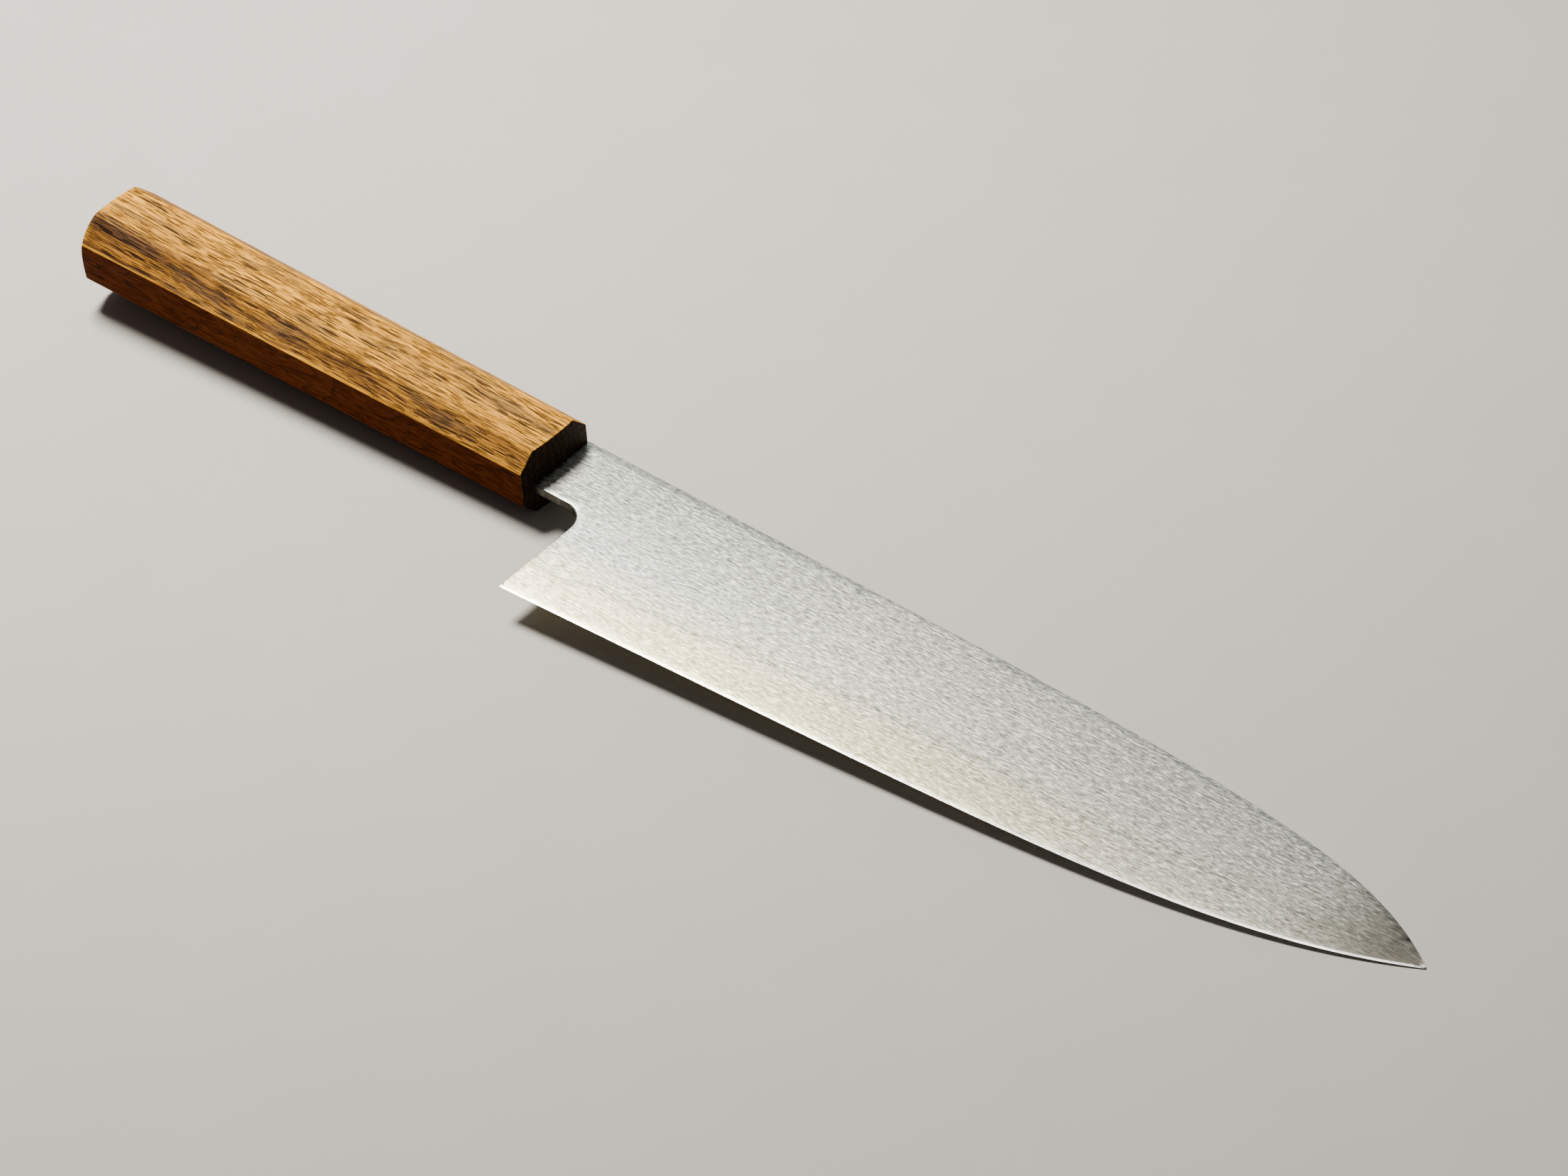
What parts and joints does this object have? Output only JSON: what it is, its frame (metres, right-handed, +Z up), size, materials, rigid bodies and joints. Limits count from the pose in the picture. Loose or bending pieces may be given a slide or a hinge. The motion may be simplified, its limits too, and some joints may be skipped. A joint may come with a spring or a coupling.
{
  "type": "chef knife",
  "caption": "Long thin-bladed kitchen knife with a layered steel blade, curved belly, finger notch at the heel and an octagonal tapered wooden handle.",
  "frame": {"origin": "centre of the knife's footprint on the surface it lies on", "axes": "+Z up from the surface; +X along the knife, towards the tip; +Y across it, from the cutting edge towards the spine"},
  "size_m": [0.3996, 0.0518, 0.0245],
  "materials": {
    "core_steel": "satin, polished at the edge",
    "cladding_steel": "satin brushed along the blade",
    "resin": "hardened adhesive",
    "dowel_wood": "unfinished",
    "handle_wood": "lightly oiled open-grained wood"
  },
  "bodies": {
    "root": {"core_steel": "core_steel", "cladding_upper": "cladding_steel", "cladding_lower": "cladding_steel", "tang_adhesive": "resin", "tang_dowel": "dowel_wood", "handle_body": "handle_wood"}
  },
  "joints": []
}
